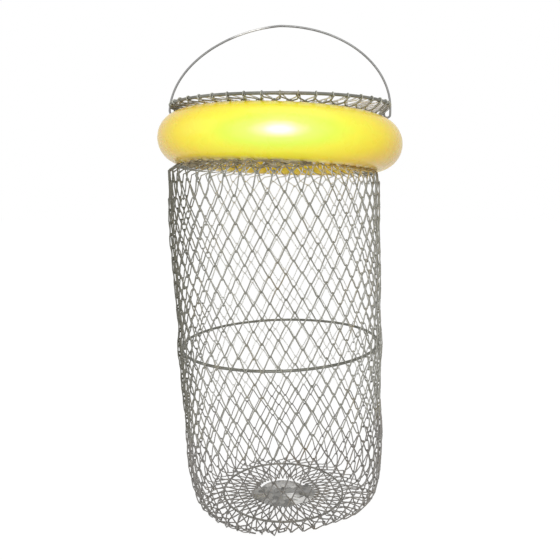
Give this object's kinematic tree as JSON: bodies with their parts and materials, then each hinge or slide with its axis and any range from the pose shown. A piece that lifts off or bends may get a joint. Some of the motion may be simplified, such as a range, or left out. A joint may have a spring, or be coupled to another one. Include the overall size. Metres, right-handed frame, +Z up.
{
  "type": "floating fish basket",
  "caption": "Folding wire mesh fish basket hung through a blown float ring, with a sprung lid in its mouth and a swinging wire bail.",
  "frame": {"origin": "on the ground, under the middle of the float", "axes": "+Z up along the basket, +X to the right, -Y towards the front"},
  "size_m": [0.3398, 0.3394, 0.6908],
  "materials": {
    "ring_wire": "dull galvanised wire, 3 to 4 mm",
    "mesh_wire": "dull galvanised knitted mesh wire",
    "bail_wire": "bright drawn wire, slightly dulled",
    "spring_wire": "bright spring wire",
    "zinc_sheet": "thin galvanised sheet with creases",
    "float_plastic": "glossy, slightly translucent yellow"
  },
  "bodies": {
    "frame": {"top_ring": "ring_wire", "neck_mesh": "mesh_wire", "body_mesh": "mesh_wire", "top_net": "mesh_wire", "mouth_ring": "ring_wire", "hinge_rod": "ring_wire", "spring_tail": "spring_wire"},
    "float": {"float_shell": "float_plastic", "float_plug": "float_plastic"},
    "bail": {"bail": "bail_wire"},
    "lid": {"lid_ring": "ring_wire", "lid_net": "mesh_wire", "hinge_link_left": "mesh_wire", "hinge_link_right": "mesh_wire", "lid_spring": "spring_wire"},
    "middle": {"mid_ring": "ring_wire"},
    "bottom": {"bottom_ring": "ring_wire", "bottom_net": "mesh_wire", "bottom_plate": "zinc_sheet", "bottom_washer": "zinc_sheet", "bottom_rivet": "zinc_sheet"}
  },
  "joints": [
    {"name": "bail_swing", "type": "hinge", "parent": "frame", "child": "bail", "pos_m": [0, 0, 0.582], "axis": [1, 0, 0], "range_deg": [-70, 70]},
    {"name": "lid_open", "type": "hinge", "parent": "frame", "child": "lid", "pos_m": [0, 0.0785, 0.57145], "axis": [1, 0, 0], "range_deg": [0, 60], "stiffness_Nm_per_rad": 0.08, "springref_deg": -40.11},
    {"name": "float_turn", "type": "hinge", "parent": "frame", "child": "float", "pos_m": [0, 0, 0.5317], "axis": [0.0331, 0.0593, 0.9977], "continuous": true},
    {"name": "fold", "type": "slide", "parent": "frame", "child": "bottom", "axis": [0, 0, 1], "range_m": [0, 0.4], "deforming": ["body_mesh"]},
    {"name": "mid_rise", "type": "slide", "parent": "frame", "child": "middle", "axis": [0, 0, 1], "range_m": [0, 0.196]}
  ],
  "couplings": [
    {"joint": "mid_rise", "follows": "fold", "ratio": 0.48875}
  ]
}
